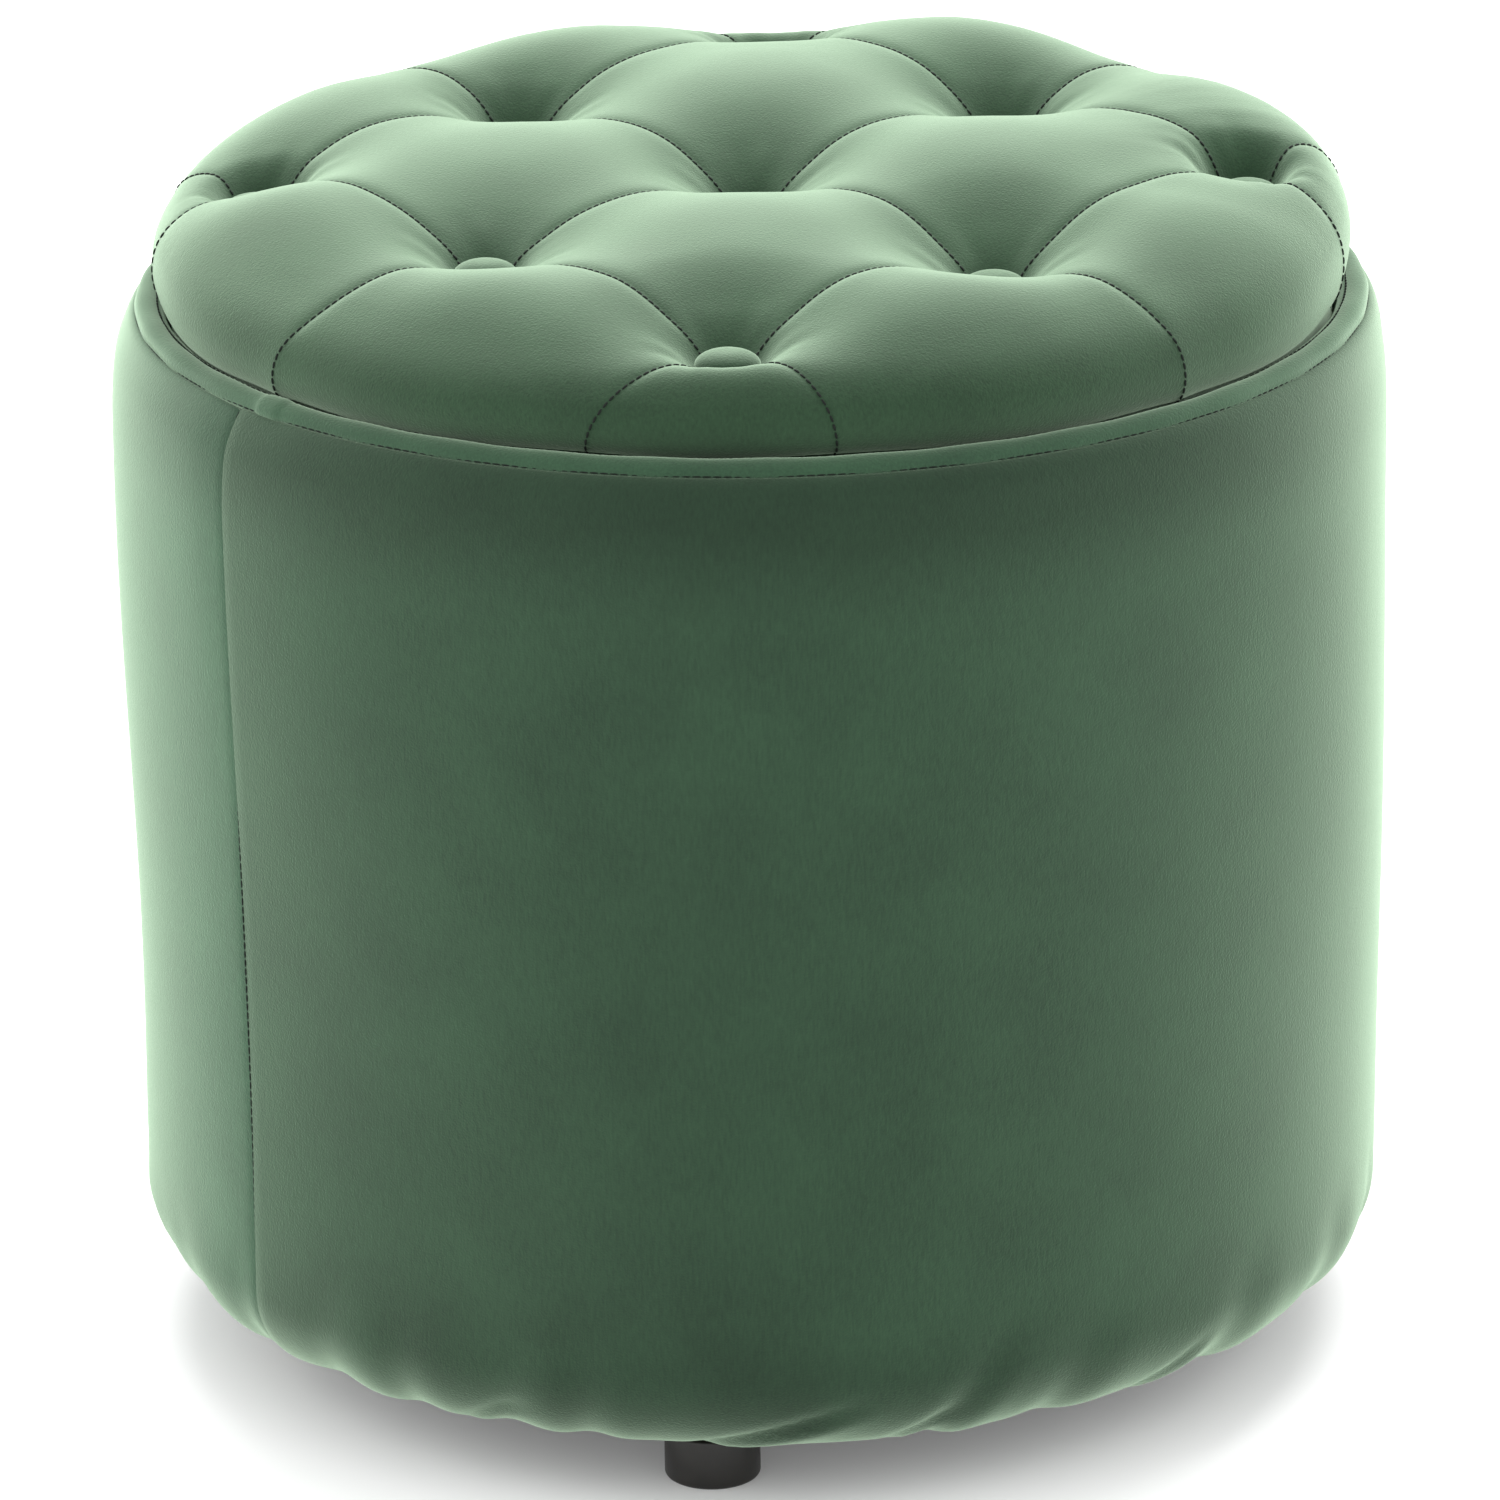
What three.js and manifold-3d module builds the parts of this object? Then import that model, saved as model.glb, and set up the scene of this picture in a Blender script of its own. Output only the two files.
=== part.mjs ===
// A round storage ottoman: an upholstered drum on four feet, with a button-tufted lid that lifts off.
// Millimetres, +Z up. The origin is on the floor under the drum's centre, and the front is towards -Y.
import * as THREE from "three";
import { mergeVertices } from "three/addons/utils/BufferGeometryUtils.js";
import Module from "manifold-3d";

const wasm = await Module();
wasm.setup();

// Driving dimensions.
const DRUM_R = 220; // over the velvet
const DRUM_BOTTOM = 20; // lowest fabric above the floor
const RIM_Z = 371; // where the side cover meets the welt
const FLOOR_BOARD_Z = 21.8; // underside of the base board
const LEDGE_TOP = 352.3; // the lid rests here
const LEDGE_IN = 187;
const LID_TOP = 433; // top of the tufted pads
const PLY = 12; // lid board and ledge ring
const BASE_PLY = 18;
const SHELL = 5; // bent plywood wall
const FOAM_WALL = 8.2;
const VELVET = 1.5;
const LINING = 1.1;
const GAP = 0.3; // kept between pieces that touch
const SIDES = 40; // facets round every large ring, so nested rings keep their gaps

// Driven sizes of the drum wall, from the outside in.
const PADDING_OUT = DRUM_R - VELVET - GAP;
const PADDING_IN = PADDING_OUT - FOAM_WALL;
const SHELL_OUT = PADDING_IN - GAP;
const SHELL_IN = SHELL_OUT - SHELL;
const INSIDE_OUT = SHELL_IN - GAP; // board, ledge, linings and facing fill out to here
const LINING_IN = INSIDE_OUT - LINING;
const SHELL_TOP = 366;
const SHELL_BOTTOM = 34; // the padding rolls under the wall and over the bevelled edge of the board
const FLOOR_BOARD_TOP = FLOOR_BOARD_Z + BASE_PLY;

// The rim's soft shoulder and the drum's rounded bottom edge.
const SHOULDER_REACH = 5;
const SHOULDER_DROP = 28;
const EDGE_ROLL_R = 33;
const HEM_R = 148; // inner edge of the velvet turned under the board
const ROLL_BEVEL_Z = 31; // top of the bevel on the base board

// Feet.
const FOOT_R = 16.5;
const FOOT_CIRCLE = 172.5;
const FOOT_TURN = THREE.MathUtils.degToRad(-6.1); // the front foot is a little left of centre
const DUST_Z = DRUM_BOTTOM - GAP - LINING;
const FOOT_TOP = DUST_Z - GAP;
const FOOT_RECESS_TOP = 12;
const SCREW_R = 2.2;
const SCREW_HOLE_R = 2.6;

// Lid.
const LID_PLUG_R = 201.5; // the part that drops into the rim
const LID_BULGE_R = 209; // the pads swell over the rim
const LID_BULGE_Z = 395;
const LID_CROWN_R = 140; // flat-topped inside this radius
const LID_BOTTOM = LEDGE_TOP + GAP;
const LID_HEM_R = 178; // inner edge of the velvet turned under the lid
const LID_BOARD_Z = LID_BOTTOM + VELVET + GAP;
const LID_LINING_R = 181;
const BUTTON_PITCH = 121.8; // between neighbouring buttons, along the seams
const LID_TURN = THREE.MathUtils.degToRad(-2.7); // the grid is turned a little in the rim
const BUTTON_SEAT = 401; // velvet under the buttons
const BUTTON_R = 11;
const TIE_R = 1;
const TIE_HOLE_R = 1.5;

const SEAM_ANGLE = THREE.MathUtils.degToRad(-53); // side seam, from the front towards +X

const velvet = new THREE.MeshStandardMaterial({ color: 0x4f7a5c, roughness: 0.9, metalness: 0 });
const plywood = new THREE.MeshStandardMaterial({ color: 0xc9a877, roughness: 0.7, metalness: 0 });
const foam = new THREE.MeshStandardMaterial({ color: 0xe9e2c8, roughness: 1, metalness: 0 });
const nonWoven = new THREE.MeshStandardMaterial({ color: 0x1c1c1d, roughness: 0.95, metalness: 0 });
const blackPlastic = new THREE.MeshStandardMaterial({ color: 0x16130f, roughness: 0.45, metalness: 0 });
const zincSteel = new THREE.MeshStandardMaterial({ color: 0xb9bcc0, roughness: 0.35, metalness: 1 });
const twine = new THREE.MeshStandardMaterial({ color: 0xd8d2c2, roughness: 0.85, metalness: 0 });

const at = (r, z) => new THREE.Vector2(r, z);

// Points on an ellipse about (r, z), with angles in degrees from +r towards +z.
function arc(r, z, reach, rise, from, to, steps) {
  return Array.from({ length: steps + 1 }, (_, i) => {
    const a = THREE.MathUtils.degToRad(from + ((to - from) * i) / steps);
    return at(r + reach * Math.cos(a), z + rise * Math.sin(a));
  });
}

// A profile turned about +Z. It runs anticlockwise, with r to the right and z up, and starts at the front.
function turned(profile, sides = SIDES) {
  const onAxis = profile[0].x === 0;
  const closed = onAxis ? profile : [...profile, profile[0]];
  return new THREE.LatheGeometry(closed, sides).rotateX(Math.PI / 2);
}

const tube = (inner, outer, low, high, sides) =>
  turned([at(inner, low), at(outer, low), at(outer, high), at(inner, high)], sides);

const disc = (radius, low, high, sides) =>
  turned([at(0, low), at(radius, low), at(radius, high), at(0, high)], sides);

// Booleans: geometry to solid, solid to geometry.
function solid(geometry) {
  const bare = geometry.clone().deleteAttribute("normal").deleteAttribute("uv");
  const merged = mergeVertices(bare, 1e-3);
  return new wasm.Manifold(
    new wasm.Mesh({
      numProp: 3,
      vertProperties: merged.attributes.position.array,
      triVerts: new Uint32Array(merged.index.array),
    }),
  );
}

function geometryOf(manifold) {
  const mesh = manifold.getMesh();
  return new THREE.BufferGeometry()
    .setAttribute("position", new THREE.BufferAttribute(mesh.vertProperties, 3))
    .setIndex(new THREE.BufferAttribute(mesh.triVerts, 1));
}

const ottoman = new THREE.Group();
const drum = new THREE.Group();
const lid = new THREE.Group();
ottoman.add(drum, lid);

function add(group, name, geometry, material) {
  const mesh = new THREE.Mesh(geometry, material);
  mesh.name = name;
  group.add(mesh);
  return mesh;
}

const footSpots = Array.from({ length: 4 }, (_, i) => {
  const a = FOOT_TURN + (i * Math.PI) / 2;
  return [FOOT_CIRCLE * Math.sin(a), -FOOT_CIRCLE * Math.cos(a)];
});

// Three by three buttons on a square grid whose seams run diagonally.
const buttonSpots = [-1, 0, 1].flatMap((row) =>
  [-1, 0, 1].map((column) => {
    const spot = new THREE.Vector2(column, row).multiplyScalar(BUTTON_PITCH);
    spot.rotateAround(new THREE.Vector2(), LID_TURN - Math.PI / 4);
    return [spot.x, spot.y];
  }),
);

// Straight holes of one radius through a solid at each spot.
function drilled(body, spots, radius, low, high, sides) {
  const drill = solid(disc(radius, low, high, sides));
  return spots.reduce((left, [x, y]) => left.subtract(drill.translate([x, y, 0])), body);
}

// Drum: frame.
const BEVEL_R = DRUM_R - EDGE_ROLL_R;
function baseBoard() {
  const bevelled = turned([
    at(0, FLOOR_BOARD_Z),
    at(BEVEL_R, FLOOR_BOARD_Z),
    at(INSIDE_OUT, ROLL_BEVEL_Z),
    at(INSIDE_OUT, FLOOR_BOARD_TOP),
    at(0, FLOOR_BOARD_TOP),
  ]);
  const board = solid(bevelled);
  return geometryOf(drilled(board, footSpots, SCREW_HOLE_R, FLOOR_BOARD_Z - 1, FLOOR_BOARD_TOP + 1, 8));
}

add(drum, "base_board", baseBoard(), plywood);
add(drum, "shell_panel", tube(SHELL_IN, SHELL_OUT, SHELL_BOTTOM, SHELL_TOP), plywood);
add(drum, "ledge_ring", tube(LEDGE_IN, INSIDE_OUT, LEDGE_TOP - PLY, LEDGE_TOP), plywood);

// Drum: padding. The shoulder and the edge roll follow the velvet at its thickness.
function shoulder(inset, steps) {
  const reach = SHOULDER_REACH - inset;
  const rise = SHOULDER_DROP - inset;
  return arc(DRUM_R - SHOULDER_REACH, RIM_Z - SHOULDER_DROP, reach, rise, 0, 78, steps);
}

function edgeRoll(inset, steps) {
  const radius = EDGE_ROLL_R - inset;
  return arc(DRUM_R - EDGE_ROLL_R, DRUM_BOTTOM + EDGE_ROLL_R, radius, radius, -90, 0, steps);
}

function sidePadding() {
  const low = DRUM_BOTTOM + EDGE_ROLL_R + GAP / 2;
  const inset = VELVET + GAP;
  const outside = [at(PADDING_OUT, low), ...shoulder(inset, 3)];
  return turned([at(PADDING_IN, low), ...outside, at(PADDING_IN, SHELL_TOP)]);
}

function bottomRoll() {
  const inset = VELVET + GAP;
  return turned([
    ...edgeRoll(inset, 4).slice(1),
    at(PADDING_IN, DRUM_BOTTOM + EDGE_ROLL_R),
    at(PADDING_IN, SHELL_BOTTOM - GAP),
    at(SHELL_IN, SHELL_BOTTOM - GAP),
    at(SHELL_IN, ROLL_BEVEL_Z - GAP),
    at(BEVEL_R + 10, FLOOR_BOARD_Z + 4.6),
  ]);
}

add(drum, "side_padding", sidePadding(), foam);
add(drum, "bottom_roll", bottomRoll(), foam);

// Drum: the velvet side cover, two panels that meet at opposite seams.
function sideCover() {
  return turned([
    at(HEM_R, DRUM_BOTTOM),
    ...edgeRoll(0, 4),
    ...shoulder(0, 3),
    ...shoulder(VELVET, 3).reverse(),
    ...edgeRoll(VELVET, 4).reverse(),
    at(HEM_R, DRUM_BOTTOM + VELVET),
  ]);
}

// The half of space on one side of the seams, less half a gap.
function seamHalf(side) {
  const reach = 2 * DRUM_R;
  const box = new THREE.BoxGeometry(reach, 2 * reach, 2 * reach);
  box.translate(side * (reach / 2 + GAP / 2), 0, 0).rotateZ(SEAM_ANGLE);
  return solid(box);
}

const cover = drilled(solid(sideCover()), footSpots, SCREW_HOLE_R, 0, FLOOR_BOARD_TOP, 8);
add(drum, "front_cover_panel", geometryOf(cover.intersect(seamHalf(1))), velvet);
add(drum, "rear_cover_panel", geometryOf(cover.intersect(seamHalf(-1))), velvet);

// Drum: rim. A corded welt, and the facing that turns down inside to the ledge.
const WELT_R = 4;
const WELT_RING_R = 210;
const WELT_Z = 373;
add(drum, "rim_welt", turned(arc(WELT_RING_R, WELT_Z, WELT_R, WELT_R, 0, 300, 5)), velvet);

function rimFacing() {
  const inner = INSIDE_OUT - 1.2;
  return turned([
    at(inner, LEDGE_TOP + GAP),
    at(INSIDE_OUT, LEDGE_TOP + GAP),
    at(INSIDE_OUT, SHELL_TOP + 0.6),
    at(INSIDE_OUT + 1.2, WELT_Z - 3.5),
    at(INSIDE_OUT + 1, WELT_Z + 1),
    at(INSIDE_OUT - 0.2, WELT_Z + 1.5),
    at(inner, WELT_Z - 2),
  ]);
}

add(drum, "rim_facing", rimFacing(), velvet);

// Drum: linings.
const DUST_R = 184;
const dustCover = () => {
  const sheet = solid(disc(DUST_R, DUST_Z, DUST_Z + LINING));
  return geometryOf(drilled(sheet, footSpots, SCREW_HOLE_R, 0, FLOOR_BOARD_Z, 8));
};
const INSIDE_FLOOR = FLOOR_BOARD_TOP + GAP;
const UNDER_LEDGE = LEDGE_TOP - PLY - GAP;
add(drum, "wall_lining", tube(LINING_IN, INSIDE_OUT, INSIDE_FLOOR, UNDER_LEDGE), nonWoven);
add(drum, "floor_panel", disc(LINING_IN - GAP, INSIDE_FLOOR, INSIDE_FLOOR + 3), nonWoven);
add(drum, "dust_cover", dustCover(), nonWoven);

// Feet: moulded cylinders, hollow underneath, each held by one wood screw.
const footShape = turned(
  [
    at(7, 0),
    at(FOOT_R - 2, 0),
    at(FOOT_R - 0.6, 0.6),
    at(FOOT_R, 2),
    at(FOOT_R, FOOT_TOP),
    at(SCREW_HOLE_R, FOOT_TOP),
    at(SCREW_HOLE_R, FOOT_RECESS_TOP),
    at(7, FOOT_RECESS_TOP),
  ],
  12,
);

const SCREW_HEAD_R = 4.6;
const SCREW_TIP = FLOOR_BOARD_TOP - 3;
const screwShape = turned(
  [
    at(0, FOOT_RECESS_TOP - GAP - 3),
    at(SCREW_HEAD_R - 1.2, FOOT_RECESS_TOP - GAP - 3),
    at(SCREW_HEAD_R, FOOT_RECESS_TOP - GAP - 1.6),
    at(SCREW_HEAD_R, FOOT_RECESS_TOP - GAP),
    at(SCREW_R, FOOT_RECESS_TOP - GAP),
    at(SCREW_R, SCREW_TIP - 4),
    at(0, SCREW_TIP),
  ],
  8,
);

footSpots.forEach(([x, y], i) => {
  add(drum, `foot_${i + 1}`, footShape, blackPlastic).position.set(x, y, 0);
  add(drum, `foot_screw_${i + 1}`, screwShape, zincSteel).position.set(x, y, 0);
});

// Lid: the tufted form, taken in by an inset, with a well down to each button.
// The well beside a button, as radius and height above the seat.
const WELL_SLOPE = [at(12, 0), at(17, 8), at(28, 16), at(61, 21), at(82, 33)];
function tuftedForm(inset, low) {
  const plug = LID_PLUG_R - inset;
  const reach = LID_BULGE_R - LID_CROWN_R - inset;
  const crown = arc(LID_CROWN_R, LID_BULGE_Z, reach, LID_TOP - LID_BULGE_Z - inset, 0, 90, 5);
  const side = [at(plug, low), at(plug, 370), at(plug + 4, 382)];
  const form = solid(turned([at(0, low), ...side, ...crown, at(0, LID_TOP - inset)]));
  const seat = BUTTON_SEAT - inset;
  const slope = WELL_SLOPE.map(({ x, y }) => at(x + inset, seat + y));
  const well = solid(turned([at(0, seat), ...slope, at(82 + inset, LID_TOP + 9), at(0, LID_TOP + 9)], 8));
  return buttonSpots.reduce((left, [x, y]) => left.subtract(well.translate([x, y, 0])), form);
}

const throughTies = (body) => geometryOf(drilled(body, buttonSpots, TIE_HOLE_R, LID_BOTTOM - 1, LID_TOP, 8));

function lidCover() {
  const inside = tuftedForm(VELVET, LID_BOTTOM + VELVET);
  const mouth = solid(disc(LID_HEM_R, LID_BOTTOM - 1, LID_BOARD_Z));
  return throughTies(tuftedForm(0, LID_BOTTOM).subtract(inside).subtract(mouth));
}

add(lid, "lid_cover", lidCover(), velvet);
add(lid, "lid_foam", throughTies(tuftedForm(VELVET + GAP, LID_BOARD_Z + PLY + GAP)), foam);
add(
  lid,
  "lid_board",
  throughTies(solid(disc(LID_PLUG_R - VELVET - GAP, LID_BOARD_Z, LID_BOARD_Z + PLY))),
  plywood,
);
add(lid, "lid_lining", disc(LID_LINING_R, LEDGE_TOP - LINING, LEDGE_TOP), nonWoven);

// Lid: covered buttons, each pulled down by a twine tie knotted under the board.
const buttonShape = turned(
  [
    at(0, BUTTON_SEAT + GAP),
    at(BUTTON_R - 1, BUTTON_SEAT + GAP),
    at(BUTTON_R, BUTTON_SEAT + 2),
    at(BUTTON_R - 3.5, BUTTON_SEAT + 5.8),
    at(0, BUTTON_SEAT + 7.5),
  ],
  8,
);

const KNOT_R = 4;
const tieShape = turned(
  [
    at(0, LID_BOTTOM + 0.1),
    at(KNOT_R, LID_BOTTOM + 0.1),
    at(KNOT_R, LID_BOARD_Z - GAP),
    at(TIE_R, LID_BOARD_Z - GAP),
    at(TIE_R, BUTTON_SEAT),
    at(0, BUTTON_SEAT),
  ],
  6,
);

buttonSpots.forEach(([x, y], i) => {
  add(lid, `button_${i + 1}`, buttonShape, velvet).position.set(x, y, 0);
  add(lid, `button_tie_${i + 1}`, tieShape, twine).position.set(x, y, 0);
});

export default ottoman;
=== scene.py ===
"""Looks for the round tufted storage ottoman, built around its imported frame. Metres, +Z up."""
import math
import random

import bmesh
import bpy
import numpy as np
from mathutils import Matrix, Vector


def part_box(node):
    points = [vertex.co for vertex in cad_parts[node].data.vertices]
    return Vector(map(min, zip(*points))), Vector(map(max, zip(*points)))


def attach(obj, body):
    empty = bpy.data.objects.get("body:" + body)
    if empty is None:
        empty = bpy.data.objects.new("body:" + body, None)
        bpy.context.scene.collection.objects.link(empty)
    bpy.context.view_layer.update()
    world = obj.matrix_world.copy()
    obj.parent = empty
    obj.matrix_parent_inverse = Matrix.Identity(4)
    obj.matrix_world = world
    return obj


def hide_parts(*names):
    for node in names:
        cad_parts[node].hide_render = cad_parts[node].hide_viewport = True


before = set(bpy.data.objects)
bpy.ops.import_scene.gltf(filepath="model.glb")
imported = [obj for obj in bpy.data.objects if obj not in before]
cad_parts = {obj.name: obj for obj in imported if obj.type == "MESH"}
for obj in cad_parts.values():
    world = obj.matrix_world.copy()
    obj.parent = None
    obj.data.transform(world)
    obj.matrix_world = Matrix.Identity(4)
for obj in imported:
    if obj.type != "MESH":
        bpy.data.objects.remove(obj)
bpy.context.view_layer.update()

DRUM, LID = "drum", "lid"

# Sizes taken from the CAD nodes.
DRUM_R = 0.220
WELT_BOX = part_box("rim_welt")
BUTTON_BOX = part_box("button_5")
LEDGE_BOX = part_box("ledge_ring")
LID_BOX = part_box("lid_cover")

BUTTON_SEAT = BUTTON_BOX[0][2]
LEDGE_TOP = LEDGE_BOX[1][2]
LID_BOTTOM = LID_BOX[0][2]
WELT_Z = (WELT_BOX[0][2] + WELT_BOX[1][2]) / 2

PITCH = 0.1218
LID_TURN = math.radians(-2.7)
SEAM_TURN = math.radians(-53.0)
FOOT_TURN = math.radians(-6.1)
FOOT_CIRCLE = 0.1725
WELT_R = 0.2102
WELT_LINE_R = 0.211
STITCH_PITCH = 0.0034


# ---------------------------------------------------------------- camera and studio

def camera():
    """The view from the front and a little above, through a long lens."""
    data = bpy.data.cameras.new("camera")
    data.lens = 225.2
    data.sensor_width = 36.0
    data.clip_end = 100.0
    eye = bpy.data.objects.new("camera", data)
    bpy.context.scene.collection.objects.link(eye)
    pitch, roll, yaw = 0.3362, -0.0128, 0.0008
    turn = (
        Matrix.Rotation(yaw, 4, "Z")
        @ Matrix.Rotation(math.pi / 2 - pitch, 4, "X")
        @ Matrix.Rotation(roll, 4, "Z")
    )
    eye.matrix_world = Matrix.Translation((0.0, -3.1372, 1.2992)) @ turn
    bpy.context.scene.camera = eye


def light(name, place, aim, size, power, colour=(1.0, 1.0, 1.0)):
    data = bpy.data.lights.new(name, "AREA")
    data.shape = "RECTANGLE"
    data.size, data.size_y = size
    data.energy = power
    data.color = colour
    lamp = bpy.data.objects.new(name, data)
    bpy.context.scene.collection.objects.link(lamp)
    lamp.location = place
    lamp.rotation_euler = (Vector(aim) - Vector(place)).to_track_quat("-Z", "Y").to_euler()


def studio():
    world = bpy.data.worlds.new("studio")
    world.use_nodes = True
    background = world.node_tree.nodes["Background"]
    background.inputs["Color"].default_value = (1.0, 1.0, 1.0, 1.0)
    background.inputs["Strength"].default_value = 1.20
    bpy.context.scene.world = world
    bpy.context.scene.view_settings.view_transform = "Standard"
    light("overhead", (0.20, 1.4, 2.1), (0.0, 0.0, 0.35), (2.4, 1.6), 93.0)
    light("left_softbox", (-2.0, -0.2, 1.0), (0.0, 0.0, 0.25), (1.2, 1.8), 19.0)
    light("right_softbox", (2.0, -0.4, 1.1), (0.0, 0.0, 0.25), (1.2, 1.8), 15.0)


# ---------------------------------------------------------------- materials

def linear(hex_colour):
    """An sRGB hex colour as the linear RGBA that a socket takes."""
    parts = [int(hex_colour[i:i + 2], 16) / 255 for i in (1, 3, 5)]
    return tuple(c / 12.92 if c <= 0.04045 else ((c + 0.055) / 1.055) ** 2.4 for c in parts) + (1.0,)


def node(tree, kind, settings=None, inputs=None, links=None):
    """Add a node with its settings, its socket values and its incoming links."""
    added = tree.nodes.new(kind)
    for key, value in (settings or {}).items():
        setattr(added, key, value)
    for key, value in (inputs or {}).items():
        added.inputs[key].default_value = value
    for key, source in (links or {}).items():
        tree.links.new(source, added.inputs[key])
    return added


def ramp(tree, factor, stops):
    added = node(tree, "ShaderNodeValToRGB", links={"Fac": factor})
    elements = added.color_ramp.elements
    while len(elements) > len(stops):
        elements.remove(elements[-1])
    while len(elements) < len(stops):
        elements.new(0.5)
    for element, (place, colour) in zip(elements, stops):
        element.position = place
        element.color = colour
    return added.outputs["Color"]


def grey(value):
    return (value, value, value, 1.0)


def new_material(name):
    made = bpy.data.materials.new(name)
    made.use_nodes = True
    tree = made.node_tree
    shader = tree.nodes["Principled BSDF"]
    return made, tree, shader


def cut_pile_velvet(name, deep, light_side, nap_stretch, pressed=()):
    """Short cut-pile polyester velvet. The pile is dark face on and pale where it's seen along its tips. Heights
    given in pressed paint shade into the base colour.
    """
    made, tree, shader = new_material(name)
    coords = node(tree, "ShaderNodeTexCoord").outputs["Object"]
    nap = node(tree, "ShaderNodeMapping", inputs={"Scale": nap_stretch}, links={"Vector": coords})
    # Patches where the pile lies another way, some 40 mm across.
    patches = node(tree, "ShaderNodeTexNoise", inputs={"Scale": 25.0, "Detail": 3.0, "Roughness": 0.5},
                   links={"Vector": coords})
    # Streaks of pile, just under 1 mm wide.
    streaks = node(tree, "ShaderNodeTexNoise", inputs={"Scale": 1100.0, "Detail": 2.0, "Roughness": 0.6},
                   links={"Vector": nap.outputs["Vector"]})
    # Tufts of pile, drawn at 0.7 mm because the real 0.2 mm is too fine to show.
    tufts = node(tree, "ShaderNodeTexNoise", inputs={"Scale": 1350.0, "Detail": 2.0}, links={"Vector": coords})
    mix = node(tree, "ShaderNodeMix", {"data_type": "FLOAT"}, {"Factor": 0.55},
               {"A": patches.outputs["Fac"], "B": streaks.outputs["Fac"]})
    colour = ramp(tree, mix.outputs["Result"], [(0.30, linear(deep)), (0.70, linear(light_side))])
    if pressed:
        # Painted shade, by height: the base colour darkens at the turn under the drum and just below where the welt
        # is sewn on.
        height = node(tree, "ShaderNodeSeparateXYZ", links={"Vector": coords}).outputs["Z"]
        wavy = node(tree, "ShaderNodeMath", {"operation": "MULTIPLY_ADD"}, {1: 0.05},
                    {0: patches.outputs["Fac"], 2: height})
        share = ramp(tree, wavy.outputs["Value"], [(z + 0.025, grey(part)) for z, part in pressed])
        colour = node(tree, "ShaderNodeMix", {"data_type": "RGBA", "blend_type": "MULTIPLY"}, {"Factor": 1.0},
                      {6: colour, 7: share}).outputs[2]
    tree.links.new(colour, shader.inputs["Base Color"])
    shader.inputs["Roughness"].default_value = 0.92
    shader.inputs["Specular IOR Level"].default_value = 0.12
    shader.inputs["Sheen Weight"].default_value = 1.0
    shader.inputs["Sheen Roughness"].default_value = 0.455
    shader.inputs["Sheen Tint"].default_value = linear("#CFEACD")
    height = node(tree, "ShaderNodeMix", {"data_type": "FLOAT"}, {"Factor": 0.3},
                  {"A": tufts.outputs["Fac"], "B": streaks.outputs["Fac"]})
    bump = node(tree, "ShaderNodeBump", inputs={"Strength": 0.55, "Distance": 0.0004},
                links={"Height": height.outputs["Result"]})
    tree.links.new(bump.outputs["Normal"], shader.inputs["Normal"])
    return made


def spun_thread(name, colour):
    """Bonded polyester sewing thread, darker than the cloth, with its ply showing as fine flecks."""
    made, tree, shader = new_material(name)
    coords = node(tree, "ShaderNodeTexCoord").outputs["Object"]
    ply = node(tree, "ShaderNodeTexNoise", inputs={"Scale": 2500.0, "Detail": 1.0}, links={"Vector": coords})
    shade = ramp(tree, ply.outputs["Fac"], [(0.3, linear(colour)), (0.8, grey(0.012))])
    tree.links.new(shade, shader.inputs["Base Color"])
    shader.inputs["Roughness"].default_value = 0.85
    shader.inputs["Specular IOR Level"].default_value = 0.2
    return made


def spunbond_lining(name, face, fibre):
    """Spunbond polypropylene lining: matt black film of fibres with a grid of pressed dots 1.5 mm apart."""
    made, tree, shader = new_material(name)
    coords = node(tree, "ShaderNodeTexCoord").outputs["Object"]
    dots = node(tree, "ShaderNodeTexVoronoi", {"feature": "F1"}, {"Scale": 520.0, "Randomness": 0.15},
                {"Vector": coords})
    fibres = node(tree, "ShaderNodeTexNoise", inputs={"Scale": 900.0, "Detail": 4.0, "Distortion": 1.5},
                  links={"Vector": coords})
    colour = ramp(tree, fibres.outputs["Fac"], [(0.35, linear(face)), (0.75, linear(fibre))])
    tree.links.new(colour, shader.inputs["Base Color"])
    shader.inputs["Roughness"].default_value = 0.85
    shader.inputs["Sheen Weight"].default_value = 0.25
    pressed = ramp(tree, dots.outputs["Distance"], [(0.2, grey(0.0)), (0.45, grey(1.0))])
    bump = node(tree, "ShaderNodeBump", inputs={"Strength": 0.5, "Distance": 0.0003}, links={"Height": pressed})
    fine = node(tree, "ShaderNodeBump", inputs={"Strength": 0.3, "Distance": 0.0001},
                links={"Height": fibres.outputs["Fac"], "Normal": bump.outputs["Normal"]})
    tree.links.new(fine.outputs["Normal"], shader.inputs["Normal"])
    return made


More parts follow.
